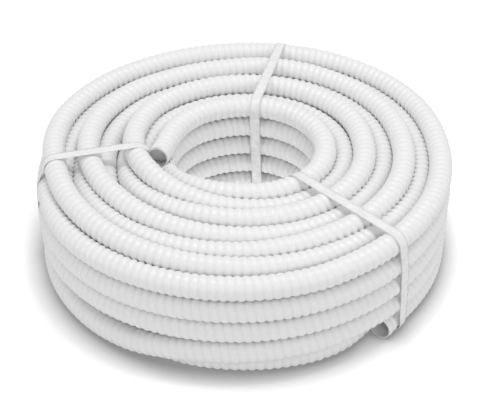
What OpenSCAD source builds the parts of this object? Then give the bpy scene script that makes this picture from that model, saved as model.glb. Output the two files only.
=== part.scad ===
// A roll of ribbed pool vacuum hose, tied with three tape straps.
//
// The hose is one length. It starts at the outer mouth on the floor, climbs the outermost column
// of turns, crosses the top of the roll column by column, goes down beside the hole and climbs
// again to the inner mouth. Its turns inside the roll are a plain core.
// Units are millimetres and +Z is up. The origin is on the floor under the middle of the roll's box.

/* [Hose] */
// Clear bore of the hose
bore_d = 38; // [30:0.5:50]
// Wall of the hose in the grooves between its ribs
wall_t = 0.7; // [0.5:0.1:1.2]
// Height of a rib over the wall
rib_h = 1.8; // [1:0.1:2.4]
// Distance from one rib to the next
rib_pitch = 14.5; // [11:0.5:16]
// Width of the groove between two ribs
groove_w = 4; // [2:0.5:6]
// Ribs on each straight end of the hose
end_ribs = 4; // [3:1:5]

/* [Roll] */
// Diameter of the hole in the middle of the roll
hole_d = 263; // [240:1:400]
// Turns stacked in the innermost and the outermost column
layers = 5; // [4:1:6]
// Columns of turns from the hole to the outside, always odd
columns = 7; // [5:2:9]
// Room between two turns stacked on each other
turn_gap = 1; // [0.6:0.1:3]
// Direction of the outer mouth from the middle of the roll
outer_mouth_az = 308; // [300:1:312]
// Direction of the inner mouth from the middle of the roll
inner_mouth_az = 191; // [186:1:196]
// Height that the inner end is lifted over the turns
inner_lift = 8; // [6:0.5:12]
// How far the outermost column swells out where its turns climb
outer_swell = 20; // [17:1:25]
// How far the column next to the hole's swells out where its turns go down
inner_swell = 19; // [17:1:25]

/* [Straps] */
// Width of the tape
strap_w = 20; // [12:1:30]
// Thickness of the tape's windings together
strap_t = 0.8; // [0.4:0.1:1.2]
// Room between the tape and the turns it goes round
strap_gap = 0.8; // [0.6:0.1:1.2]
// Direction of the back strap from the middle of the roll
back_strap_az = 80; // [60:1:100]
// Direction of the left strap from the middle of the roll
left_strap_az = 184; // [180:1:186]
// Direction of the front strap from the middle of the roll
front_strap_az = 310; // [308:1:318]

/* [Core] */
// Room between the core and the turns round it
core_gap = 0.5; // [0.3:0.1:0.9]

/* [Hidden] */

hose_colour = "white";
core_colour = "gainsboro";
strap_colour = "lightgray";

hose_d = bore_d + 2 * (wall_t + rib_h);
hose_r = hose_d / 2;
groove_r = bore_d / 2 + wall_t;
end_l = end_ribs * rib_pitch;

// The tube's section is a hexagon with flats above and below
sides = 6;
flat_r = hose_r * cos(180 / sides);
rings_per_turn = 24;
ring_step = 360 / rings_per_turn;

// Stacked turns lie one hose and a gap apart, and the next column's turns nest between them
layer_pitch = hose_d + turn_gap;
column_pitch = sqrt(pow(hose_d, 2) - pow(layer_pitch / 2, 2));
inner_turn_r = hole_d / 2 + hose_r;
top_layer = layers - 1;

// Where each turn changes its place, as directions from the middle of the roll
cross_az = 140;
rise_az = [cross_az, 320];
shift_in_az = [165, 315];
outer_swell_az = [cross_az, 180];
inner_swell_az = [200, 245];
settle_az = [285, 335];
sink_az = [240, 345];
slip_under_az = [cross_az, 250];
slip_in_az = [250, 345];
// Least room between two turns where they cross, and the height they change between two rings
cross_gap = 1.1;
cross_step = 4;

// Places of the hose, turn after turn from the outer end: column and layer
places = concat(
    [[columns, 0]],
    [for (k = [0:top_layer]) [columns, k]],
    [for (c = [columns - 1:-1:3]) [c, c % 2 == 0 ? top_layer - 0.5 : top_layer]],
    [for (k = [0:layers - 2]) [2, top_layer - 0.5 - k]],
    [for (k = [0:top_layer]) [1, k]],
    [[1, top_layer]]
);
last_turn = len(places) - 2;

function ramp(a, span) =
    let (x = min(1, max(0, (a - span[0]) / (span[1] - span[0]))))
    x * x * (3 - 2 * x);

function direction(az) = [cos(az), sin(az)];
function tangent(az) = [-sin(az), cos(az)];
function column_r(c) = inner_turn_r + (c - 1) * column_pitch;
function layer_z(k) = hose_r + k * layer_pitch;

// Straight ends: the last ring of the wound part, and the way the hose leaves it
straight_l = hose_d + end_l;
outer_turn_r = column_r(columns);
outer_start_az = outer_mouth_az + atan(straight_l / outer_turn_r);
outer_start = outer_turn_r * direction(outer_start_az);
outer_way = -tangent(outer_start_az);
// The inner end leaves its turn a little towards the hole
inner_turn_in = 12;
inner_end_angle = 38;
inner_start_az = inner_mouth_az - inner_end_angle;
inner_start = inner_turn_r * direction(inner_start_az);
inner_way = tangent(inner_start_az + inner_turn_in);
inner_z = layer_z(top_layer) + inner_lift;

function cross2(a, b) = a[0] * b[1] - a[1] * b[0];
function line_r(start, way, az) = cross2(start, way) / cross2(direction(az), way);

// Height of turn i at a direction az that runs from cross_az once round
function turn_z(i, az) =
    let (a = places[i], b = places[i + 1])
    let (low = layer_z(a[1]), step = (b[1] - a[1]) * layer_pitch)
    i == last_turn ? low + inner_lift * ramp(az, [cross_az, inner_start_az])
    : a[0] == b[0] || b[1] > a[1] ? low + step * ramp(az, rise_az)
    : a[1] == top_layer ? low + step * ramp(az, sink_az)
    : low + step * ramp(az, slip_under_az);

// Radius that turn i would have there if nothing lay inside it
function turn_free_r(i, az) =
    let (a = places[i], b = places[i + 1])
    let (span = a[1] == 0.5 ? slip_in_az : shift_in_az)
    let (settled = 1 - ramp(az, settle_az))
    i == last_turn && az > inner_start_az ? line_r(inner_start, inner_way, az)
    : b[0] == columns ? column_r(columns) + outer_swell * settled * ramp(az, outer_swell_az)
    : a[0] == 2 && b[0] == 2 ? column_r(2) + inner_swell * settled * ramp(az, inner_swell_az)
    : column_r(a[0] + (b[0] - a[0]) * ramp(az, span));

// Radial room that two turns need at a difference in height
function room(dz, half_height) =
    dz >= half_height + flat_r + cross_gap ? 0
    : (half_height + flat_r + cross_gap - max(0, dz - cross_step) / 2) / cos(30);

// Each turn rests against the turns wound inside it: [radius, height], the innermost turn first
function packed(az, i, inside) =
    i < 0 ? inside
    : let (gone = i == last_turn && az > inner_mouth_az + ring_step)
      let (z = gone ? -10 * layer_pitch : turn_z(i, az))
      let (pushed = [for (k = [0:1:len(inside) - 1])
          let (half = k == 0 && az > inner_start_az ? hose_r : flat_r)
          let (a = room(abs(z - inside[k][1]), half))
          if (a > 0) inside[k][0] + a])
      let (r = max(concat([turn_free_r(i, az)], pushed)))
      packed(az, i - 1, concat(inside, [[r, z]]));

first_ring_az = ceil(cross_az / ring_step) * ring_step;
sections = [for (n = [0:rings_per_turn - 1]) packed(first_ring_az + n * ring_step, last_turn, [])];

// Rings of the winding, from the outer end to the inner one, numbered by the turns run so far
first_ring = ceil((outer_start_az + 1 - first_ring_az) / ring_step);
last_ring = last_turn * rings_per_turn + floor((inner_start_az - 1 - first_ring_az) / ring_step);

function ring_place(n) =
    let (turn = floor(n / rings_per_turn), at = n % rings_per_turn)
    sections[at][last_turn - turn];
function ring_az(n) = first_ring_az + (n % rings_per_turn) * ring_step;
function ring_centre(n) =
    let (rz = ring_place(n), d = direction(ring_az(n)))
    [rz[0] * d[0], rz[0] * d[1], rz[1]];

// A ring is its centre and its outward direction
function ring(centre, out) =
    [for (s = [0:sides - 1])
        let (x = hose_r * cos(s * 360 / sides), z = hose_r * sin(s * 360 / sides))
        [centre[0] + x * out[0], centre[1] + x * out[1], centre[2] + z]];

function along(start, way, l, z) = [start[0] + way[0] * l, start[1] + way[1] * l, z];
outer_out = direction(outer_start_az);
inner_out = direction(inner_start_az + inner_turn_in);
inner_bend_l = hose_r * sin(inner_turn_in) + 1;
outer_joint = along(outer_start, outer_way, hose_d, hose_r);
inner_joint = along(inner_start, inner_way, inner_bend_l + hose_d, inner_z);
outer_mouth = along(outer_start, outer_way, straight_l, hose_r);
inner_mouth = along(inner_start, inner_way, inner_bend_l + straight_l, inner_z);

rings = concat(
    [ring(outer_joint, outer_out), ring(along(outer_start, outer_way, 0, hose_r), outer_out)],
    [for (n = [first_ring:last_ring]) ring(ring_centre(n), direction(ring_az(n)))],
    [ring(along(inner_start, inner_way, inner_bend_l, inner_z), inner_out), ring(inner_joint, inner_out)]
);
centres = concat(
    [outer_mouth, outer_joint, along(outer_start, outer_way, 0, hose_r)],
    [for (n = [first_ring:last_ring]) ring_centre(n)],
    [along(inner_start, inner_way, inner_bend_l, inner_z), inner_joint, inner_mouth]
);

// Where the hose goes through an upright plane that faces az and lies t along the tangent:
// the distance out, the height, and the half height of the section there
function crossings(az, t) =
    let (d = direction(az), e = tangent(az))
    let (side = [for (c = centres) c[0] * e[0] + c[1] * e[1] - t])
    [for (n = [0:len(centres) - 2])
        if (side[n] <= 0 && side[n + 1] > 0)
            let (c = centres[n] + (centres[n + 1] - centres[n]) * side[n] / (side[n] - side[n + 1]))
            let (out = c[0] * d[0] + c[1] * d[1])
            if (out > 0) [out, c[2], n == 0 || n == len(centres) - 2 ? hose_r : flat_r]];

// Least gap between turns, measured in each ring's plane and at three planes before the next
function pair_gap(p, q) =
    let (dx = abs(p[0] - q[0]), dz = abs(p[1] - q[1]))
    max(dz, dx * cos(30) + dz / 2) - p[2] - q[2];
function section_gap(s) =
    min([for (i = [0:len(s) - 2]) for (j = [i + 1:len(s) - 1]) pair_gap(s[i], s[j])]);
gap_azs = concat(
    [for (n = [0:4 * rings_per_turn - 1]) n * ring_step / 4],
    [outer_mouth_az + 1, outer_start_az, inner_mouth_az - 1, inner_start_az + ring_step]
);
least_gap = min([for (az = gap_azs) section_gap(crossings(az, 0))]);
echo(least_gap_between_turns = least_gap);
runs = [for (n = [1:len(centres) - 1]) norm(centres[n] - centres[n - 1])];
hose_l = runs * [for (l = runs) 1];
echo(turns_shown = last_turn - (outer_mouth_az - inner_mouth_az) / 360, shown_hose_mm = hose_l);

// The core fills the roll between the columns that wind, below the top row
beside_hole = [for (s = sections) for (k = [layers + 1:2 * layers - 2]) s[k][0]];
core_in_r = max(beside_hole) + hose_r + core_gap;
core_out_r = (outer_turn_r - hose_r) * cos(ring_step / 2) - core_gap;
core_h = layer_z(top_layer - 0.5) - flat_r - core_gap;

strap_azs = [back_strap_az, left_strap_az, front_strap_az];
// A strap goes round every turn where it lies, and round the core's foot
core_foot = [[core_in_r, hose_r], [core_out_r, hose_r]];
function strap_turns(az) =
    concat(core_foot, [for (t = [-strap_w / 2, 0, strap_w / 2]) each crossings(az, t)]);
function strap_reach(az) = max([for (c = strap_turns(az)) c[0]]) + hose_r + strap_gap + strap_t;

// Corners of everything, for the origin
corners = concat(
    [for (r = rings) each [r[0], r[3]]],
    [for (s = [-1, 1]) along([outer_mouth[0], outer_mouth[1]], outer_out, s * hose_r, 0)],
    [for (az = strap_azs) for (s = [-1, 1])
        along(strap_reach(az) * direction(az), tangent(az), s * strap_w / 2, 0)]
);
xs = [for (c = corners) c[0]];
ys = [for (c = corners) c[1]];
middle = [(min(xs) + max(xs)) / 2, (min(ys) + max(ys)) / 2];
echo(outer_way = outer_way, inner_way = inner_way);
echo(roll_axis = -middle, outer_mouth = outer_mouth - [middle[0], middle[1], 0],
    inner_mouth = inner_mouth - [middle[0], middle[1], 0], box = [max(xs) - min(xs), max(ys) - min(ys)]);

module centred() {
    translate([-middle[0], -middle[1], 0])
        children();
}

module hose_winding() {
    count = len(rings);
    last = (count - 1) * sides;
    color(hose_colour)
        centred()
            polyhedron(
                points = [for (r = rings) each r],
                faces = concat(
                    [for (n = [0:count - 2]) for (s = [0:sides - 1]) each
                        let (a = n * sides + s, b = n * sides + (s + 1) % sides)
                        [[a, b, b + sides], [a, b + sides, a + sides]]],
                    [for (s = [1:sides - 2]) [0, s + 1, s]],
                    [for (s = [1:sides - 2]) [last, last + s, last + s + 1]]
                )
            );
}

module hose_core() {
    color(core_colour)
        centred()
            difference() {
                rotate_extrude($fn = 96)
                    translate([core_in_r, 0])
                        square([core_out_r - core_in_r, core_h]);
                for (az = strap_azs)
                    rotate(az)
                        translate([0, -strap_w / 2 - strap_gap, -1])
                            cube([core_out_r + 1, strap_w + 2 * strap_gap, 1 + strap_t + strap_gap]);
            }
}

// A straight length of ribbed hose along +Z, cut at both faces
module ribbed_end() {
    rotate_extrude($fn = 48)
        polygon(concat(
            [[bore_d / 2, 0]],
            [for (n = [0:end_ribs - 1]) each let (z = n * rib_pitch) [
                [groove_r, z],
                [groove_r, z + groove_w / 2],
                [hose_r, z + groove_w],
                [hose_r, z + rib_pitch - groove_w / 4],
                [groove_r, z + rib_pitch - groove_w / 8]
            ]],
            [[groove_r, end_l], [bore_d / 2, end_l]]
        ));
}

module lying(at, way) {
    centred()
        translate(at)
            rotate([0, 90, atan2(way[1], way[0])])
                children();
}

module hose_outer_end() {
    color(hose_colour)
        lying(outer_joint, outer_way)
            ribbed_end();
}

module hose_inner_end() {
    color(hose_colour)
        lying(inner_joint, inner_way)
            ribbed_end();
}

// The band's inner outline grown by a margin, cut off at a floor height
module band_outline(az, margin, floor_z) {
    intersection() {
        hull()
            for (c = strap_turns(az))
                translate([c[0], c[1]])
                    circle(hose_r + margin, $fn = 24);
        translate([0, floor_z])
            square([2 * outer_turn_r, 2 * layers * layer_pitch]);
    }
}

module strap(az) {
    color(strap_colour)
        centred()
            rotate([90, 0, az])
                linear_extrude(strap_w, center = true)
                    difference() {
                        band_outline(az, strap_gap + strap_t, 0);
                        band_outline(az, strap_gap, strap_t);
                    }
}

module strap_back() {
    strap(back_strap_az);
}

module strap_left() {
    strap(left_strap_az);
}

module strap_front() {
    strap(front_strap_az);
}

hose_winding();
hose_core();
hose_outer_end();
hose_inner_end();
strap_back();
strap_left();
strap_front();
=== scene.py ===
# %% [markdown]
# # A roll of ribbed hose, tied with three bands of tape
# A pool vacuum hose leaves the factory as one long length, wound on a drum into a thick flat
# ring. It lies on its side, and three bands of clear tape stop it from springing open. In this
# lesson the whole length is wound, turn by turn, and then dressed with its ribs and its tape.
# The frame comes first: it holds the plain model of the roll.

# %% Load the frame
import math
import bpy
import numpy as np
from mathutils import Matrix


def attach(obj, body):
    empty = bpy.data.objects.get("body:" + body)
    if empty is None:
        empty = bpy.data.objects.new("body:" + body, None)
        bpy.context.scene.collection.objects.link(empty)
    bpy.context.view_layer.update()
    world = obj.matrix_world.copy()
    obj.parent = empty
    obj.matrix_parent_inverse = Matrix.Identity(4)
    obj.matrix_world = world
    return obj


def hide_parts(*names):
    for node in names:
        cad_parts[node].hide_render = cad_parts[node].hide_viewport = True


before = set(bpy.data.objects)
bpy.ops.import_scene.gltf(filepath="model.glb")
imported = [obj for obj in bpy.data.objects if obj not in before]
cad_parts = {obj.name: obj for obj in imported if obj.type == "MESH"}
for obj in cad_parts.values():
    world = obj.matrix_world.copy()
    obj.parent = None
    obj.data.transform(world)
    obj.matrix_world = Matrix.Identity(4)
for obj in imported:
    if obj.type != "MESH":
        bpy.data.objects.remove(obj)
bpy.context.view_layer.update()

# %% [markdown]
# ## The camera
# The roll is seen from the front and from above, with a long lens, as on a shop's page. A long
# lens keeps the back of the ring nearly as large as its front.

# %% Set the camera
LENS_MM = 85
SENSOR_MM = 36
CAMERA_PLACE = (0.0184, -1.8294, 1.4545)
CAMERA_TILT = math.radians(53.0)
FARTHEST_SEEN = 50

camera_data = bpy.data.cameras.new("camera")
camera_data.lens = LENS_MM
camera_data.sensor_width = SENSOR_MM
camera_data.clip_end = FARTHEST_SEEN
camera = bpy.data.objects.new("camera", camera_data)
bpy.context.collection.objects.link(camera)
camera.location = CAMERA_PLACE
camera.rotation_euler = (CAMERA_TILT, 0, 0)
bpy.context.scene.camera = camera
print("camera at", CAMERA_PLACE)

# %% [markdown]
# ## The way the hose is wound
# Seven columns of turns stand around the hole. An odd column has five turns, and an even one
# has four, half a turn higher, which lie in the dents between their neighbours. The hose starts
# at its open end on the floor, outside, climbs the outer column, steps over its top, goes down
# the next column, slips under it to the third, and so on inwards. Each of these steps is made
# in one part of the ring, at the left and the front, and the rest of the turn lies level.
#
# So a turn is told by a few places where the hose must be: an angle round the ring, and there
# its distance from the middle, or its height. Angles are in degrees from the right, the way a
# clock doesn't go: 90 is the back, 180 the left and 270 the front, and after 360 a turn goes on
# to the right and the back again. Distances and heights are counted in layers of 44 mm, because
# that is how the turns stack.

# %% The units of the winding
LAYER = 0.044
LOWEST_LAYER = 0.4886  # the lowest turn's middle line is this many layers above the floor
MIDDLE = (0.010256, 0.022301)  # the ring's middle on the floor
FULL_TURN = 360
print("the ring's middle:", MIDDLE)

# %% Where the level part of a turn runs, for each column
settled = {
    7: [(362, 8.30), (385, 8.42), (405, 8.46), (435, 8.42), (465, 8.33), (485, 8.36)],
    6: [(362, 7.54), (385, 7.65), (405, 7.70), (435, 7.72), (465, 7.58), (485, 7.62)],
    5: [(362, 6.78), (385, 6.88), (410, 6.95), (437, 7.02), (465, 6.82), (480, 6.83)],
    4: [(362, 5.96), (385, 6.10), (410, 6.17), (437, 6.22), (465, 6.09), (480, 6.08)],
    3: [(362, 5.10), (385, 5.22), (410, 5.30), (440, 5.36), (470, 5.35), (485, 5.32)],
    2: [(362, 4.27), (385, 4.36), (410, 4.42), (440, 4.46), (470, 4.45), (485, 4.44)],
    1: [(362, 3.42), (400, 3.42), (440, 3.42), (470, 3.42), (485, 3.46)],
}
print("columns:", sorted(settled))

# %% Where a turn runs while it climbs an odd column
climb = {
    7: [(140, 8.42), (165, 8.45), (180, 8.49), (193, 8.55), (210, 8.72), (240, 8.93), (270, 9.02),
        (300, 8.85), (330, 8.50), (350, 8.34)],
    5: [(140, 6.97), (165, 7.02), (193, 7.06), (210, 7.11), (225, 7.12), (240, 7.09), (270, 7.04),
        (285, 6.95), (300, 6.88), (330, 6.80), (350, 6.78)],
    3: [(140, 5.28), (160, 5.20), (184, 5.14), (210, 5.18), (230, 5.08), (250, 5.02), (270, 5.03),
        (300, 5.06), (330, 5.10), (350, 5.10)],
    1: [(140, 3.50), (190, 3.46), (215, 3.36), (240, 3.30), (270, 3.32), (300, 3.38), (330, 3.42),
        (350, 3.42)],
}
print("columns that the hose climbs:", sorted(climb))

# %% Where a turn runs while it steps over the top of an odd column
over = {
    7: [(140, 8.44), (160, 8.43), (175, 8.31), (190, 8.12), (210, 8.02), (240, 7.98), (270, 7.91),
        (290, 7.76), (300, 7.66), (315, 7.53), (330, 7.49), (350, 7.50)],
    5: [(140, 6.98), (155, 6.97), (175, 6.82), (210, 6.37), (225, 6.25), (240, 6.15), (270, 6.05),
        (290, 5.98), (300, 5.94), (315, 5.86), (330, 5.76), (350, 5.86)],
    3: [(140, 5.26), (152, 5.12), (175, 4.86), (210, 4.42), (225, 4.30), (240, 4.20), (270, 4.17),
        (290, 4.19), (310, 4.15), (330, 4.14), (350, 4.20)],
}
print("columns that the hose steps over:", sorted(over))

# %% Where a turn runs while it goes down an even column, and under it to the next odd one
dive = {
    6: [(140, 7.66), (180, 7.75), (200, 7.95), (230, 8.00), (320, 7.64), (345, 7.54)],
    4: [(140, 6.17), (165, 6.12), (190, 6.04), (200, 6.10), (320, 5.98), (345, 5.94)],
    2: [(140, 4.45), (190, 4.45), (240, 4.40), (320, 4.28), (345, 4.26)],
}
under = {
    6: [(140, 7.66), (225, 7.95), (240, 8.35), (250, 8.58), (260, 8.66), (270, 8.67), (285, 8.64),
        (293, 8.55), (300, 8.33), (306, 8.05), (312, 7.77), (325, 7.30), (345, 6.90)],
    4: [(140, 6.04), (240, 6.00), (300, 5.60), (345, 5.16)],
    2: [(140, 4.34), (240, 4.20), (300, 3.80), (345, 3.46)],
}
print("columns that the hose goes down:", sorted(dive))

# %% Where three single turns run: the outermost one at the top, the first and the last
top_turn = [(140, 8.42), (165, 8.45), (180, 8.47), (193, 8.49), (210, 8.64), (225, 8.75),
            (240, 8.82), (270, 8.93), (285, 8.89), (300, 8.72), (315, 8.57), (330, 8.44),
            (350, 8.33)]
first_turn = [(308, 8.82), (312.2, 8.67), (316.5, 8.57), (330, 8.47), (350, 8.34)]
last_turn = [(140, 3.44), (165, 3.43), (175, 3.475), (184, 3.61), (193, 3.86)]
print("the first turn starts at", first_turn[0], "and the last one ends at", last_turn[-1])

# %% [markdown]
# The heights follow in the same way. A list of rises says how much of a layer the turn has
# climbed at each angle, and a list of drops how much it has gone down. The inner columns climb
# earlier than the outer one. Where a turn changes its column, its height is given as it is.

# %% How a turn changes its height
even_rise = [(140, 0), (185, 0.156), (230, 0.5), (275, 0.844), (320, 1)]
first_rise = [(140, 0), (222, 0), (238, 0.12), (250, 0.42), (262, 0.68), (275, 0.80), (290, 0.90),
              (307, 1)]
rise = {
    7: even_rise,
    5: [(140, 0), (185, 0.27), (200, 0.45), (220, 0.65), (240, 0.80), (260, 0.90), (280, 0.97),
        (305, 1)],
    3: [(140, 0), (180, 0.25), (198, 0.48), (215, 0.68), (230, 0.83), (245, 0.93), (265, 1)],
    1: [(140, 0), (185, 0.20), (200, 0.40), (215, 0.62), (230, 0.80), (245, 0.92), (265, 1)],
}
late_drop = [(140, 0), (190, 0.03), (205, 0.20), (225, 0.60), (245, 0.84), (280, 1)]
early_drop = [(140, 0), (165, 0.12), (190, 0.40), (215, 0.65), (245, 0.85), (280, 1)]
drop = {6: late_drop, 4: late_drop, 2: early_drop}
print("columns with a rise:", sorted(rise), "and with a drop:", sorted(drop))

# %% How high a turn lies while it changes its column
wide_step = [(140, 4.0), (180, 4.07), (210, 4.05), (240, 3.97), (270, 3.90), (300, 3.76),
             (320, 3.62), (345, 3.5)]
tight_step = [(140, 4.0), (165, 4.08), (183, 4.18), (200, 4.20), (220, 4.12), (240, 4.0),
              (270, 3.86), (300, 3.70), (320, 3.59), (345, 3.5)]
over_height = {7: wide_step, 5: wide_step, 3: tight_step}
under_height = [(140, 0.5), (187, 0.25), (235, 0)]
first_height = [(308, 0)]
last_height = [(140, 4.0), (175, 4.0), (184, 4.035), (193, 4.115)]
print("the last turn ends at layer", last_height[-1][1])

# %% Lay the turns one after another
OUTER_COLUMN = 7
ODD_COLUMNS = (7, 5, 3, 1)
LAYERS_CLIMBED = range(4)
LAYERS_GONE_DOWN = (3.5, 2.5, 1.5)

turns = [(first_turn + settled[OUTER_COLUMN], first_height)]
for column in ODD_COLUMNS:
    for layer in LAYERS_CLIMBED:
        runs, climbs = climb[column], rise[column]
        if column == OUTER_COLUMN and layer == LAYERS_CLIMBED[0]:
            climbs = first_rise
        if column == OUTER_COLUMN and layer == LAYERS_CLIMBED[-1]:
            runs = top_turn
        turns.append((runs + settled[column], [(at, layer + part) for at, part in climbs]))
    if column in over:
        inner = column - 1
        turns.append((over[column] + settled[inner], over_height[column]))
        for layer in LAYERS_GONE_DOWN:
            turns.append((dive[inner] + settled[inner], [(at, layer - part) for at, part in drop[inner]]))
        turns.append((under[inner] + settled[inner - 1], under_height))
turns.append((last_turn, last_height))

out_places = [(at + FULL_TURN * number, out) for number, turn in enumerate(turns) for at, out in turn[0]]
up_places = [(at + FULL_TURN * number, up + LOWEST_LAYER)
             for number, turn in enumerate(turns) for at, up in turn[1]]
print(len(turns), "turns, from", out_places[0], "to", out_places[-1])

# %% [markdown]
# ## One smooth middle line
# Between these places the hose takes the smoothest way that never swings past them. A cubic
# whose slope is a weighted harmonic mean of the slopes beside each place does that: it stays
# flat where the turn is level, so that no wave is left in the quiet part of the ring.

# %% A smooth way through the places
def smooth_way(places, at):
    """The values at some angles of a smooth curve through places of (angle, value)."""
    place, value = np.array(places).T
    width = np.diff(place)
    steep = np.diff(value) / width
    slope = np.zeros(len(place))
    one_way = steep[:-1] * steep[1:] > 0
    before = (2 * width[1:] + width[:-1])[one_way]
    after = (width[1:] + 2 * width[:-1])[one_way]
    slope[1:-1][one_way] = (before + after) / (before / steep[:-1][one_way] + after / steep[1:][one_way])
    slope[0], slope[-1] = steep[0], steep[-1]
    i = np.clip(np.searchsorted(place, at) - 1, 0, len(width) - 1)
    t = (at - place[i]) / width[i]
    return (value[i] * (1 + 2 * t) * (1 - t) ** 2 + slope[i] * width[i] * t * (1 - t) ** 2
            + value[i + 1] * t * t * (3 - 2 * t) + slope[i + 1] * width[i] * t * t * (t - 1))


def length_along(points):
    """How far each point of a chain lies along it."""
    steps = np.linalg.norm(np.diff(points, axis=0), axis=1)
    return np.concatenate([[0], np.cumsum(steps)])


print("the outer column's rise at 230 degrees, in layers:", smooth_way(even_rise, 230))

# %% Draw the middle line
ANGLE_STEP = 0.5

first_angle, last_angle = out_places[0][0], out_places[-1][0]
angle = np.append(np.arange(first_angle, last_angle, ANGLE_STEP), last_angle)
far = smooth_way(out_places, angle) * LAYER
high = smooth_way(up_places, angle) * LAYER
line = np.stack([MIDDLE[0] + far * np.cos(np.radians(angle)),
                 MIDDLE[1] + far * np.sin(np.radians(angle)), high], axis=1)
along = length_along(line)
hose_length = float(along[-1])
print("hose wound: %.2f m in %.2f turns" % (hose_length, (last_angle - first_angle) / FULL_TURN))

# %% [markdown]
# ## The ribs
# The wall is a plastic strip wound round and round and welded edge to edge, so one rounded rib
# runs along the whole hose as a right-handed screw. Making some 3,650 separate rings would hide
# that, and one screw-shaped grid shows it: the rows of the grid follow the rib, and after once
# round the hose a row has moved on by one rib. Five rows make a rib: the sharp crease between
# two ribs, a place on either flank, and the two edges of the rounded crest.

# %% The shape of one rib
RIB_LENGTH = 0.0145
RIB_HEIGHT = 0.0022
CREASE_RADIUS = 0.0193
CREST_RADIUS = 0.0215
SIDES = 18

side = np.arange(SIDES)
row_place = np.array([0.0, 0.14, 0.39, 0.61, 0.86])  # as a part of the rib's length
row_height = np.array([0.0, 0.40, 0.97, 1.0, 0.44])  # as a part of the rib's height
ROWS = len(row_place)
print("ribs on the hose:", round(hose_length / RIB_LENGTH))


# %% Places on the hose
LOOK = 0.002  # how far ahead and behind the hose's direction is measured
UP = (0, 0, 1)


def on_line(distance):
    """Points of the middle line at some distances along the hose."""
    return np.stack([np.interp(distance, along, line[:, axis]) for axis in range(3)], axis=-1)


def place_on_hose(distance, turned, radius):
    """Points at a distance along the hose, turned round it by an angle from its outer side."""
    forward = on_line(distance + LOOK) - on_line(distance - LOOK)
    forward /= np.linalg.norm(forward, axis=-1, keepdims=True)
    outward = np.cross(forward, UP)
    outward /= np.linalg.norm(outward, axis=-1, keepdims=True)
    down = np.cross(forward, outward)
    aside = np.cos(turned)[..., None] * outward + np.sin(turned)[..., None] * down
    return on_line(distance) + radius[..., None] * aside


print("the hose starts at", on_line(0.0).round(3), "and ends at", on_line(hose_length).round(3))

# %% How close the next turn is
MOST_ROOM = 0.030


def room_beside(points, own_angle):
    """The free way from each point to the nearest other turn, in metres, up to the most room."""
    x, y = points[:, 0] - MIDDLE[0], points[:, 1] - MIDDLE[1]
    azimuth, out = np.degrees(np.arctan2(y, x)) % FULL_TURN, np.hypot(x, y)
    room = np.full(len(points), MOST_ROOM)
    for number in range(-1, len(turns) + 1):
        at = azimuth + FULL_TURN * number
        other = (at >= angle[0]) & (at <= angle[-1]) & (abs(at - own_angle) > FULL_TURN / 2)
        to_line = np.hypot(out[other] - np.interp(at[other], angle, far),
                           points[other, 2] - np.interp(at[other], angle, high))
        room[other] = np.minimum(room[other], to_line - CREST_RADIUS)
    return np.clip(room, 0, MOST_ROOM)


print("room beside the hose's start:", room_beside(line[:1], angle[:1]))

# %% [markdown]
# ## Five stretches of hose
# One mesh may not be too heavy, so the hose is made in five stretches. Each is cut where other
# turns hide it, and the next one starts from the same row. At the hose's two real ends the grid
# is cut square: its points past the cut are laid on the cut's plane, and faces that shrink to
# nothing there are left out. Each point also keeps two numbers for the plastic, which shades
# itself by them: its height on the rib, and the room beside it.

# %% Make a piece from points and faces
def add_piece(name, points, faces):
    mesh = bpy.data.meshes.new(name)
    mesh.from_pydata(points.tolist(), [], faces)
    piece = bpy.data.objects.new(name, mesh)
    bpy.context.collection.objects.link(piece)
    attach(piece, "root")
    return piece


def keep_numbers(mesh, name, numbers):
    attribute = mesh.attributes.new(name, "FLOAT", "POINT")
    attribute.data.foreach_set("value", numbers.astype(np.float32))


def ring_faces(rows, count):
    """The faces between neighbouring closed rows, where each row has the same count of points."""
    faces = []
    for row in range(rows - 1):
        for here in range(count):
            beside = (here + 1) % count
            faces.append((row * count + here, row * count + beside,
                          (row + 1) * count + beside, (row + 1) * count + here))
    return faces


# %% Lay out the grid of a stretch
PAST_START, PAST_END = 1.2, 0.2  # ribs past a cut, so that the slanting rows reach it all round
ENDLESS = 1e9  # stands for no cut


def lay_grid(start, end, cut_start, cut_end):
    """Each grid point's distance along the hose, and its height on the rib from 0 to 1."""
    first_rib = math.floor(start / RIB_LENGTH - (PAST_START if cut_start else 0))
    last_rib = math.ceil(end / RIB_LENGTH + (PAST_END if cut_end else 0))
    row = np.arange(first_rib * ROWS, (last_rib + 1) * ROWS + 1)
    rib_number = row // ROWS + row_place[row % ROWS]
    distance = (rib_number[:, None] + side / SIDES) * RIB_LENGTH
    height = np.repeat(row_height[row % ROWS][:, None], SIDES, axis=1)
    return distance, height


def number_points(distance, start, end, cut_start, cut_end):
    """The number of each grid point, where rows past a cut take the number of the cut's row."""
    row = np.repeat(np.arange(len(distance))[:, None], SIDES, axis=1)
    if cut_start:
        row = np.maximum(row, np.argmax(distance > start, axis=0) - 1)
    if cut_end:
        row = np.minimum(row, np.argmax(distance >= end, axis=0))
    return row * SIDES + side


def at_corners(grid):
    """A grid's values at the four corners of each face.

    The faces that join the last side to the first one, which is one rib on, come at the end.
    """
    here = grid[:-ROWS]
    beside = np.concatenate([here[:, 1:], grid[ROWS:, :1]], axis=1)
    corners = np.stack([here[:-1], beside[:-1], beside[1:], here[1:]], axis=-1)
    return np.concatenate([corners[:, :-1].reshape(-1, 4), corners[:, -1]])


print("faces on one rib:", SIDES * ROWS)

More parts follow.
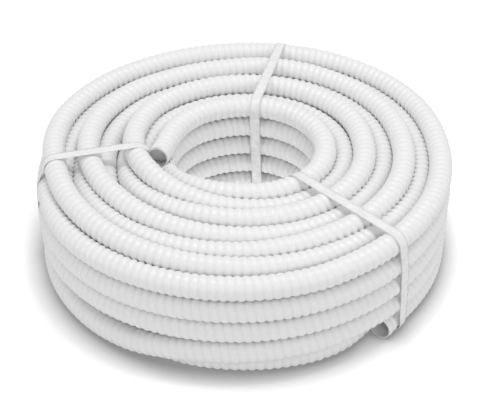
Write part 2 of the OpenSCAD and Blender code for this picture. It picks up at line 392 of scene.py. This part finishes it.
# %% Make a stretch of hose
def make_stretch(name, start, end, cut_start=False, cut_end=False):
    distance, height = lay_grid(start, end, cut_start, cut_end)
    cut_distance = np.clip(distance, start if cut_start else -ENDLESS, end if cut_end else ENDLESS)
    turned = 2 * np.pi * np.repeat(side[None, :], len(distance), axis=0) / SIDES
    points = place_on_hose(cut_distance, turned, CREASE_RADIUS + RIB_HEIGHT * height).reshape(-1, 3)

    faces = at_corners(number_points(distance, start, end, cut_start, cut_end))
    low = at_corners(np.tile(side / SIDES, (len(distance), 1)))[:, 0]
    corner_along = at_corners(distance)
    corner_round = np.stack([low, low + 1 / SIDES, low + 1 / SIDES, low], axis=-1)
    real = (faces[:, 0] != faces[:, 3]) | (faces[:, 1] != faces[:, 2])
    faces, corner_along, corner_round = faces[real], corner_along[real], corner_round[real]
    used, faces_now = np.unique(faces, return_inverse=True)
    faces = faces_now.reshape(faces.shape)
    kept = faces != np.roll(faces, 1, axis=1)

    piece = add_piece(name, points[used], [face[keep].tolist() for face, keep in zip(faces, kept)])
    uv = piece.data.uv_layers.new(name="along_and_round")
    corner_places = np.stack([corner_along[kept], corner_round[kept]], axis=-1)
    uv.data.foreach_set("uv", corner_places.astype(np.float32).ravel())
    keep_numbers(piece.data, "rib_height", height.ravel()[used])
    own_angle = np.interp(cut_distance.ravel()[used], along, angle)
    keep_numbers(piece.data, "room_beside", room_beside(points[used], own_angle))
    piece.data.shade_smooth()
    return piece


# %% Cut the hose into stretches
CUT_TURNS = (6, 10, 15, 24)
HIDDEN_AT = 230  # the angle at which other turns hide a cut
STRETCHES = ("hose_outer_column", "hose_second_column", "hose_third_column",
             "hose_middle_columns", "hose_inner_columns")
LAST = len(STRETCHES) - 1


def at_turn(number, azimuth):
    return float(np.interp(azimuth + FULL_TURN * number, angle, along))


cuts = [0.0, *(at_turn(number, HIDDEN_AT) for number in CUT_TURNS), hose_length]
stretches = []
for number, name in enumerate(STRETCHES):
    piece = make_stretch(name, cuts[number], cuts[number + 1], number == 0, number == LAST)
    stretches.append(piece)
    print(name, "%.2f m" % (cuts[number + 1] - cuts[number]), len(piece.data.polygons), "faces")

# %% [markdown]
# ## The two mouths
# At each real end one sees the cut wall's edge, and then the bore. The edge is a flat ring, and
# the bore is a tube that goes in far enough to be dark at its end. A boolean cut could make both,
# but it would break the rows of the rib, so they are built row by row instead, on the hose's own
# middle line. The rib shows faintly from inside too, and the same screw, only much lower, gives it.

# %% Make the mouths
BORE_RADIUS = 0.0187
BORE_RIB_HEIGHT = 0.0005
LEAST_EDGE_RADIUS = 0.0208  # more than a crease's radius, so that the edge shows all round
BORE_DEPTH = 0.17
EDGE_ROWS = 2


def make_mouth(name, cut_at, inwards):
    """The cut edge and the bore behind it. Inwards is 1 at the hose's start, and -1 at its end."""
    depth = np.concatenate([np.zeros(EDGE_ROWS), np.arange(0, BORE_DEPTH, RIB_LENGTH / ROWS)])
    rows = len(depth)
    distance = np.repeat((cut_at + inwards * depth)[:, None], SIDES, axis=1)
    turned = 2 * np.pi * np.repeat(side[None, :], rows, axis=0) / SIDES
    height = np.interp((distance / RIB_LENGTH - side / SIDES) % 1,
                       np.append(row_place, 1), np.append(row_height, 0))
    radius = BORE_RADIUS + BORE_RIB_HEIGHT * height
    radius[0] = np.maximum(CREASE_RADIUS + RIB_HEIGHT * height[0], LEAST_EDGE_RADIUS)
    radius[1] = BORE_RADIUS
    points = place_on_hose(distance, turned, radius).reshape(-1, 3)

    faces = ring_faces(rows, SIDES)
    faces.append(tuple(range((rows - 1) * SIDES, rows * SIDES)))
    if inwards > 0:  # the rows go the other way here, and this turns the faces outwards again
        faces = [face[::-1] for face in faces]
    piece = add_piece(name, points, faces)
    keep_numbers(piece.data, "rib_height", np.ones(len(points)))
    keep_numbers(piece.data, "room_beside", np.full(len(points), MOST_ROOM))
    for i, face in enumerate(piece.data.polygons):
        face.use_smooth = i >= EDGE_ROWS * SIDES
    print(name, len(faces), "faces")
    return piece


mouths = {0: make_mouth("outer_mouth", 0.0, 1), LAST: make_mouth("inner_mouth", hose_length, -1)}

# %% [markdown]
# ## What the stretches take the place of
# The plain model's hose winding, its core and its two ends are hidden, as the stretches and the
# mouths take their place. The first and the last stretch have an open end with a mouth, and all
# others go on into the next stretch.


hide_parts("hose_winding", "hose_core", "hose_outer_end", "hose_inner_end")
print("stretches declared:", len(stretches))

# %% [markdown]
# ## The bands of tape
# A band is a strip of clear plastic tape, pulled tight round the wall of the ring, so it touches
# only the turns that stand out and runs straight over the dents between them. A plain loop drawn
# by hand would cut into some turns and miss others. The convex hull of the turns, cut where the
# band lies, is what a tight strip really does. Each band gets such a hull at five places across
# its width, so that it tilts with the turns under it.

# %% Find where a band meets the turns
TAPE_WIDTH = 0.020
TAPE_THICK = 0.0006
LINES_ACROSS = 5
LOOK_ROUND = 16      # degrees on either side of a band, in which a turn is looked for
FEWEST_POINTS = 8    # a turn with fewer points there ends before it reaches the band
FARTHEST_OFF = 0.02  # a turn that ends farther than this from a band isn't under it


def spot(out, azimuth):
    """A point of the floor at a distance in layers from the ring's middle, in a direction."""
    a = math.radians(azimuth)
    return np.array([MIDDLE[0] + out * LAYER * math.cos(a), MIDDLE[1] + out * LAYER * math.sin(a)])


def turns_under(start, along_band, across, aside, azimuth):
    """Where the turns cross an upright plane, aside of the band's middle: how far along, how high."""
    found = []
    for number in range(len(turns)):
        near = line[abs(angle - azimuth - FULL_TURN * number) < LOOK_ROUND]
        if len(near) < FEWEST_POINTS:
            continue
        off_plane = (near[:, :2] - start) @ across - aside
        if off_plane[0] * off_plane[-1] > 0 and abs(off_plane).min() > FARTHEST_OFF:
            continue
        found.append((np.interp(0, off_plane, (near[:, :2] - start) @ along_band),
                      np.interp(0, off_plane, near[:, 2])))
    return np.array(found)


print("the spot 8.8 layers out at the front:", spot(out=8.8, azimuth=270).round(3))

# %% Pull a band round the turns
BAND_GAP = 0.0002       # between the tape and the ribs' crests
UNDER_GAP = 0.0006      # between a band and a turn that lies on it
HULL_STEP = 2           # degrees between the directions in which the hull is looked for
OUTLINE_STEP = 0.001
POINT_EVERY = 5


def hull_round(found):
    """The outline of a band pulled round these turns, as points in order, close together."""
    direction = np.radians(np.arange(0, FULL_TURN, HULL_STEP))
    normal = np.stack([np.cos(direction), np.sin(direction)], axis=-1)
    touched = np.argmax(found @ normal.T, axis=0)
    ring = found[touched] + normal * (CREST_RADIUS + BAND_GAP)
    ring = np.concatenate([ring, ring[:1]])
    ring_length = length_along(ring)
    even = np.arange(0, ring_length[-1], OUTLINE_STEP)
    return np.stack([np.interp(even, ring_length, ring[:, c]) for c in range(2)], axis=-1)


def push_under(ring, turn):
    """The same outline, but never inside the turn that lies on the band."""
    away = ring - turn
    reach = np.linalg.norm(away, axis=1, keepdims=True)
    return turn + away * np.maximum(1, (CREST_RADIUS + UNDER_GAP) / reach)


# %% Make a band
BAND_TOP = 0.22         # the height at which a leaning band keeps its place
LEAST_HEIGHT = 0.0003


def make_band(name, start, end, lean=0.0, under_last=False):
    """A band round the turns between two spots. Lean moves it aside, in metres for each metre down."""
    along_band = (end - start) / np.linalg.norm(end - start)
    across = np.array([-along_band[1], along_band[0]])
    middle = (start + end) / 2 - MIDDLE
    azimuth = math.degrees(math.atan2(middle[1], middle[0])) % FULL_TURN

    lines = []
    asides = np.linspace(-TAPE_WIDTH / 2, TAPE_WIDTH / 2, LINES_ACROSS)
    for aside in asides:
        found = turns_under(start, along_band, across, aside, azimuth)
        tied, last = (found[:-1], found[-1]) if under_last else (found, None)
        ring = hull_round(tied)
        if under_last:
            ring = push_under(ring, last)
        if not lines:
            heart = tied.mean(axis=0)
        ring = ring - heart
        direction = np.arctan2(ring[:, 1], ring[:, 0]) % (2 * np.pi)
        order = np.argsort(direction)
        lines.append((direction[order], np.linalg.norm(ring, axis=1)[order]))

    shared = lines[LINES_ACROSS // 2][0][::POINT_EVERY]
    points = []
    for aside, (direction, reach) in zip(asides, lines):
        radius = np.interp(shared, direction, reach, period=2 * np.pi)
        out = heart[0] + radius * np.cos(shared)
        up = np.maximum(heart[1] + radius * np.sin(shared), LEAST_HEIGHT)
        sideways = aside + lean * (BAND_TOP - up)
        points.append(np.column_stack([start + out[:, None] * along_band + sideways[:, None] * across, up]))
    piece = add_piece(name, np.concatenate(points), ring_faces(LINES_ACROSS, len(shared)))
    print(name, "ties", len(tied), "turns")
    return piece


def give_thickness(piece):
    """Turn the strip's faces outwards, and then make it as thick as the tape, on its outer side."""
    piece.data.shade_smooth()
    bpy.ops.object.select_all(action="DESELECT")
    piece.select_set(True)
    bpy.context.view_layer.objects.active = piece
    bpy.ops.object.mode_set(mode="EDIT")
    bpy.ops.mesh.select_all(action="SELECT")
    bpy.ops.mesh.normals_make_consistent(inside=False)
    bpy.ops.object.mode_set(mode="OBJECT")
    thick = piece.modifiers.new("thickness", "SOLIDIFY")
    thick.thickness = TAPE_THICK
    thick.offset = 1
    bpy.ops.object.modifier_apply(modifier=thick.name)


# %% Make the three bands
bands = [
    make_band("tape_back", spot(out=3.5, azimuth=81.8), spot(out=8.8, azimuth=78.6), lean=-0.033),
    make_band("tape_left", spot(out=3.9, azimuth=187.5), spot(out=8.6, azimuth=190.0), under_last=True),
    make_band("tape_front", spot(out=3.5, azimuth=310.3), spot(out=8.8, azimuth=311.9), lean=0.075),
]
for band, node in zip(bands, ("strap_back", "strap_left", "strap_front")):
    give_thickness(band)
    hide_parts(node)
    print(band.name, len(band.data.polygons), "faces")

# %% [markdown]
# ## The plastics
# Nothing moulded is even all over: its gloss, and on tape its clearness, changes a little from
# place to place. Both plastics need that, so it is made once, as a node group, from noise. Each
# material places the group with its own scale, and with the lowest and highest value it wants.

# %% Make a soft mottle that both plastics share
NOISE_DETAIL = 3.0
NOISE_LOW, NOISE_HIGH = 0.35, 0.65  # most of the noise lies between these two

mottle = bpy.data.node_groups.new("soft_mottle", "ShaderNodeTree")
for socket_name in ("Scale", "Low", "High"):
    mottle.interface.new_socket(socket_name, in_out="INPUT", socket_type="NodeSocketFloat")
mottle.interface.new_socket("Value", in_out="OUTPUT", socket_type="NodeSocketFloat")
mottle_in = mottle.nodes.new("NodeGroupInput")
mottle_out = mottle.nodes.new("NodeGroupOutput")
place = mottle.nodes.new("ShaderNodeTexCoord")
clouds = mottle.nodes.new("ShaderNodeTexNoise")
clouds.inputs["Detail"].default_value = NOISE_DETAIL
spread = mottle.nodes.new("ShaderNodeMapRange")
spread.inputs["From Min"].default_value = NOISE_LOW
spread.inputs["From Max"].default_value = NOISE_HIGH
mottle.links.new(place.outputs["Object"], clouds.inputs["Vector"])
mottle.links.new(mottle_in.outputs["Scale"], clouds.inputs["Scale"])
mottle.links.new(clouds.outputs["Fac"], spread.inputs["Value"])
mottle.links.new(mottle_in.outputs["Low"], spread.inputs["To Min"])
mottle.links.new(mottle_in.outputs["High"], spread.inputs["To Max"])
mottle.links.new(spread.outputs["Result"], mottle_out.inputs["Value"])


def add_mottle(tree, scale, low, high):
    node = tree.nodes.new("ShaderNodeGroup")
    node.node_tree = mottle
    node.inputs["Scale"].default_value = scale
    node.inputs["Low"].default_value = low
    node.inputs["High"].default_value = high
    return node.outputs["Value"]


print("group made:", mottle.name)

# %% [markdown]
# The hose is plain white, and what tells its form is shade. Light hardly comes into the creases
# and between two turns that touch, and soft lamps alone lose that. So the white is darkened there,
# by the two numbers that each point keeps: most where a crease lies close to another turn, a
# little on all that is close to one, and a little in every crease.

# %% Make the white plastic
WHITE = (0.90, 0.90, 0.90, 1)
SHADE = (0.30, 0.30, 0.30, 1)
NEAR_FADE, FLANK_FADE = -480.0, -120.0  # how fast the two shades fade, for each metre of room
CREST_SHARE, CREASE_SHARE = 0.05, 1.1   # how strong the near shade is on a crest, and more in a crease
FLANK_SHARE = 0.08
CREASE_POWER, CREASE_SHADE = 3.0, 0.06

plastic = bpy.data.materials.new("white_hose_plastic")
plastic.use_nodes = True
nodes, links = plastic.node_tree.nodes, plastic.node_tree.links
skin = nodes["Principled BSDF"]
links.new(add_mottle(plastic.node_tree, scale=40.0, low=0.32, high=0.40), skin.inputs["Roughness"])


def work_out(operation, *values):
    """A Math node of the plastic, fed with plain numbers and with the outputs of other nodes."""
    node = nodes.new("ShaderNodeMath")
    node.operation = operation
    for i, value in enumerate(values):
        if isinstance(value, float):
            node.inputs[i].default_value = value
        else:
            links.new(value, node.inputs[i])
    return node.outputs[0]


def kept_number(name):
    node = nodes.new("ShaderNodeAttribute")
    node.attribute_name = name
    return node.outputs["Fac"]


room = kept_number("room_beside")
depth = work_out("SUBTRACT", 1.0, kept_number("rib_height"))
near = work_out("EXPONENT", work_out("MULTIPLY", room, NEAR_FADE))
near_share = work_out("ADD", work_out("MULTIPLY", depth, CREASE_SHARE), CREST_SHARE)
flank = work_out("EXPONENT", work_out("MULTIPLY", room, FLANK_FADE))
crease = work_out("POWER", depth, CREASE_POWER)
close = work_out("ADD", work_out("MULTIPLY", near, near_share), work_out("MULTIPLY", flank, FLANK_SHARE))
dark = work_out("ADD", close, work_out("MULTIPLY", crease, CREASE_SHADE))
print("nodes that work out the shade:", len(nodes))

# %% Colour the hose with it
COLOUR_A, COLOUR_B, COLOUR_OUT = 6, 7, 2  # where the Mix node keeps its colour sockets

tone = nodes.new("ShaderNodeMix")
tone.data_type = "RGBA"
links.new(dark, tone.inputs["Factor"])
tone.inputs[COLOUR_A].default_value = WHITE
tone.inputs[COLOUR_B].default_value = SHADE
links.new(tone.outputs[COLOUR_OUT], skin.inputs["Base Color"])
for piece in stretches + list(mouths.values()):
    piece.data.materials.append(plastic)
print("white pieces:", len(stretches) + len(mouths))

# %% [markdown]
# The tape is clear and glossy. On a white hose it looks a little whiter than what it covers,
# because its two faces throw some light back. It isn't quite flat either: fine wrinkles from
# the pull break its gloss, and a Bump node is enough for those.

# %% Make the clear tape
TAPE_WHITE = (0.98, 0.98, 0.98, 1)
WRINKLE_STRENGTH = 0.25
WRINKLE_DEPTH = 0.0005

film = bpy.data.materials.new("clear_tape")
film.use_nodes = True
skin = film.node_tree.nodes["Principled BSDF"]
links = film.node_tree.links
skin.inputs["Base Color"].default_value = TAPE_WHITE
links.new(add_mottle(film.node_tree, scale=60.0, low=0.78, high=0.90), skin.inputs["Alpha"])
links.new(add_mottle(film.node_tree, scale=90.0, low=0.18, high=0.34), skin.inputs["Roughness"])
wrinkles = film.node_tree.nodes.new("ShaderNodeBump")
wrinkles.inputs["Strength"].default_value = WRINKLE_STRENGTH
wrinkles.inputs["Distance"].default_value = WRINKLE_DEPTH
links.new(add_mottle(film.node_tree, scale=130.0, low=0.0, high=1.0), wrinkles.inputs["Height"])
links.new(wrinkles.outputs["Normal"], skin.inputs["Normal"])
for piece in bands:
    piece.data.materials.append(film)
print("bands of tape:", len(bands))

# %% [markdown]
# ## The floor
# The roll lies on a white floor that runs into the white behind it, and only a soft shade shows
# where it stands. The camera sees a floor that is lifted a little by light of its own, and whose
# colour is darkened where the roll comes close, a painted shade on top of the real shadow. All
# other rays see a plain pale floor, so that the light that it throws back onto the roll stays even.

# %% Make the floor
FLOOR_SIZE = 14
FLOOR_PALE = (0.9, 0.9, 0.9, 1)
SHADE_REACH = 0.045
SHADE_SAMPLES = 12
SHADE_FULL_AT, SHADE_DARKEST = 0.35, 0.15
FLOOR_LIFT = 0.20

bpy.ops.object.select_all(action="DESELECT")
bpy.ops.mesh.primitive_plane_add(size=FLOOR_SIZE, location=(0, 0, 0))
floor = bpy.context.object
floor.name = "floor"
print("floor:", FLOOR_SIZE, "m wide")

# %% Paint the floor
floor_paint = bpy.data.materials.new("floor_paint")
floor_paint.use_nodes = True
nodes, links = floor_paint.node_tree.nodes, floor_paint.node_tree.links
nodes.clear()
ray = nodes.new("ShaderNodeLightPath")
pale = nodes.new("ShaderNodeBsdfDiffuse")
pale.inputs["Color"].default_value = FLOOR_PALE
shaded = nodes.new("ShaderNodeBsdfDiffuse")
# painted shade: this AO node darkens the floor's colour, as the camera sees it, where the roll comes close
painted_shade_ao = nodes.new("ShaderNodeAmbientOcclusion")
painted_shade_ao.inputs["Distance"].default_value = SHADE_REACH
painted_shade_ao.samples = SHADE_SAMPLES
fade = nodes.new("ShaderNodeMapRange")
fade.inputs["From Min"].default_value = SHADE_FULL_AT
fade.inputs["To Min"].default_value = SHADE_DARKEST
lift = nodes.new("ShaderNodeEmission")
lift.inputs["Strength"].default_value = FLOOR_LIFT
lifted = nodes.new("ShaderNodeAddShader")
seen_or_not = nodes.new("ShaderNodeMixShader")
paint_out = nodes.new("ShaderNodeOutputMaterial")
links.new(painted_shade_ao.outputs["AO"], fade.inputs["Value"])
links.new(fade.outputs["Result"], shaded.inputs["Color"])
links.new(shaded.outputs[0], lifted.inputs[0])
links.new(lift.outputs[0], lifted.inputs[1])
links.new(ray.outputs["Is Camera Ray"], seen_or_not.inputs[0])
links.new(pale.outputs[0], seen_or_not.inputs[1])
links.new(lifted.outputs[0], seen_or_not.inputs[2])
links.new(seen_or_not.outputs[0], paint_out.inputs["Surface"])
floor.data.materials.append(floor_paint)
print("floor painted with", floor_paint.name)

# %% [markdown]
# ## The light
# White plastic on a white floor shows its form only by shade, so the room is dimmer than white
# and the lamps are soft. The world lights the roll from all sides, and shows pure white only to
# rays that look at it: those from the camera, and those that a glossy or a glass-clear surface
# sends on. Four wide lamps add light from above and from both sides and the front, and a narrow
# one reaches down the hole.

# %% Light the world
ROOM_STRENGTH = 0.56
WHITE_STRENGTH = 1
PURE_WHITE = (1, 1, 1, 1)

bpy.context.scene.view_settings.view_transform = "Standard"
world = bpy.data.worlds.new("studio")
bpy.context.scene.world = world
world.use_nodes = True
nodes, links = world.node_tree.nodes, world.node_tree.links
nodes.clear()
ray = nodes.new("ShaderNodeLightPath")
looks = nodes.new("ShaderNodeMath")
looks.operation = "MAXIMUM"
looks_or_passes = nodes.new("ShaderNodeMath")
looks_or_passes.operation = "MAXIMUM"
dim_room = nodes.new("ShaderNodeBackground")
dim_room.inputs["Color"].default_value = PURE_WHITE
dim_room.inputs["Strength"].default_value = ROOM_STRENGTH
white_room = nodes.new("ShaderNodeBackground")
white_room.inputs["Color"].default_value = PURE_WHITE
white_room.inputs["Strength"].default_value = WHITE_STRENGTH
seen_or_not = nodes.new("ShaderNodeMixShader")
world_out = nodes.new("ShaderNodeOutputWorld")
links.new(ray.outputs["Is Camera Ray"], looks.inputs[0])
links.new(ray.outputs["Is Glossy Ray"], looks.inputs[1])
links.new(looks.outputs[0], looks_or_passes.inputs[0])
links.new(ray.outputs["Is Transmission Ray"], looks_or_passes.inputs[1])
links.new(looks_or_passes.outputs[0], seen_or_not.inputs[0])
links.new(dim_room.outputs[0], seen_or_not.inputs[1])
links.new(white_room.outputs[0], seen_or_not.inputs[2])
links.new(seen_or_not.outputs[0], world_out.inputs["Surface"])
print("world made:", world.name, "with strength", ROOM_STRENGTH)


# %% Add the lamps
def add_lamp(name, kind, place, watts):
    data = bpy.data.lights.new(name, kind)
    data.energy = watts
    lamp = bpy.data.objects.new(name, data)
    bpy.context.collection.objects.link(lamp)
    lamp.location = place
    return lamp


def add_wide_lamp(name, place, aim, size, watts):
    lamp = add_lamp(name, "AREA", place, watts)
    lamp.data.shape = "SQUARE"
    lamp.data.size = size
    x, y, z = np.array(aim) - np.array(place)
    lamp.rotation_euler = (math.atan2(math.hypot(x, y), -z), 0, math.atan2(-x, y))


ROLL_FOOT = (0, 0, 0)
ROLL_HEART = (0, 0, 0.1)
HOLE_LAMP_HEIGHT = 2.0
HOLE_LAMP_CONE = math.radians(8.0)
HOLE_LAMP_BLEND = 0.4
HOLE_LAMP_SIZE = 0.02

add_wide_lamp("top_light", place=(0.30, 0.15, 3.0), aim=ROLL_FOOT, size=1.2, watts=26)
add_wide_lamp("left_light", place=(-2.6, -1.6, 1.8), aim=ROLL_HEART, size=1.0, watts=11)
add_wide_lamp("right_light", place=(2.6, -1.2, 1.5), aim=ROLL_HEART, size=1.0, watts=7)
hole_light = add_lamp("hole_light", "SPOT", place=(*MIDDLE, HOLE_LAMP_HEIGHT), watts=125)
hole_light.data.spot_size = HOLE_LAMP_CONE
hole_light.data.spot_blend = HOLE_LAMP_BLEND
hole_light.data.shadow_soft_size = HOLE_LAMP_SIZE
add_wide_lamp("front_light", place=(0.6, -3.0, 1.6), aim=ROLL_HEART, size=1.2, watts=6.5)
print("lamps:", [lamp.name for lamp in bpy.data.lights])
